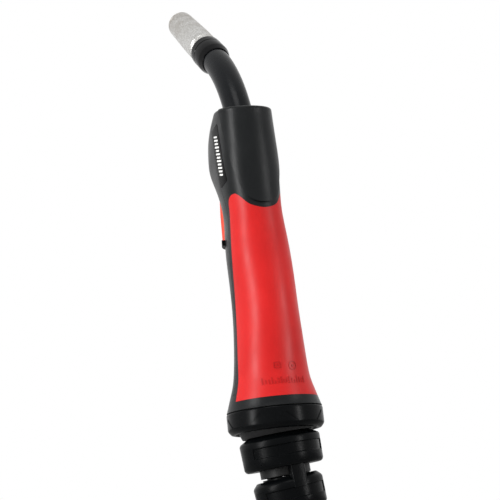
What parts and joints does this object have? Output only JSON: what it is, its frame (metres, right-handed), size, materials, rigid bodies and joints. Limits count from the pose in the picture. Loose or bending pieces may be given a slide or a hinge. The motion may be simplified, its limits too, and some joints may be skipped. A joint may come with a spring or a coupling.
{
  "type": "mig welding torch",
  "caption": "Hand-held gas-cooled welding torch: bent neck with a tapered nozzle, two-shell handle with a soft back and trigger, and a ball-jointed bend protection.",
  "frame": {"origin": "centre of the hand grip, on the handle's axis", "axes": "+Z along the handle towards the neck, +Y towards the trigger and nozzle, +X across"},
  "size_m": [0.0649, 0.1325, 0.4235],
  "materials": {
    "black_plastic": "satin fine-grained moulding",
    "red_grip": "soft satin overmould",
    "label": "semi-gloss plate",
    "steel": "zinc plated",
    "ring_plastic": "satin moulding",
    "nylon": "natural nylon",
    "ball_plastic": "satin moulding",
    "black_rubber": "satin rubber",
    "neck_coating": "satin coating",
    "insulation": "plain",
    "copper": "drawn copper",
    "brass": "turned brass",
    "seal_rubber": "plain",
    "gloss_black": "polished",
    "ceramic": "fired ceramic",
    "nickel": "satin nickel",
    "trigger_red": "satin moulding"
  },
  "bodies": {
    "handle": {"back_shell": "black_plastic", "soft_grip": "red_grip", "front_shell": "black_plastic", "label_plate_left": "label", "label_plate_right": "label", "housing_screws": "steel", "rear_collar": "black_plastic", "ring_nut": "ring_plastic", "neck_jacket": "neck_coating", "neck_insulation": "insulation", "neck_conductor": "copper", "wire_liner": "steel", "neck_union_nut": "brass", "power_block": "brass", "neck_o_rings": "seal_rubber", "nozzle_collar": "gloss_black", "tip_holder": "copper", "gas_diffuser": "ceramic", "nozzle_spring": "steel", "contact_tip": "copper", "trigger_pin": "steel", "trigger_spring": "steel", "switch_body": "insulation", "switch_terminals": "brass", "switch_carrier": "ball_plastic"},
    "nozzle": {"gas_nozzle": "nickel"},
    "trigger_lever": {"trigger": "trigger_red"},
    "plunger": {"switch_plunger": "nylon"},
    "swivel_ring": {"ball_seat_ring": "nylon"},
    "rear_sleeve": {"joint_ball": "ball_plastic", "bend_protection": "black_rubber"}
  },
  "joints": [
    {"name": "nozzle_pull_off", "type": "slide", "parent": "handle", "child": "nozzle", "axis": [0, 0.7716, 0.6361], "range_m": [0, 0.055]},
    {"name": "trigger_pull", "type": "hinge", "parent": "handle", "child": "trigger_lever", "pos_m": [0, 0.024, 0.077], "axis": [-1, 0, 0], "range_deg": [0, 5.5], "stiffness_Nm_per_rad": 0.8, "springref_deg": -5.73, "deforming": ["trigger_spring"]},
    {"name": "plunger_press", "type": "slide", "parent": "handle", "child": "plunger", "axis": [0, -1, 0], "range_m": [0, 0.0026]},
    {"name": "sleeve_swivel", "type": "hinge", "parent": "handle", "child": "swivel_ring", "pos_m": [0, 0, -0.075], "axis": [0, 0, 1], "continuous": true},
    {"name": "sleeve_tilt", "type": "hinge", "parent": "swivel_ring", "child": "rear_sleeve", "pos_m": [0, 0, -0.075], "axis": [0, -1, 0], "range_deg": [-13, 3]}
  ],
  "couplings": [
    {"joint": "plunger_press", "follows": "trigger_pull", "m_per_rad": 0.0233}
  ]
}
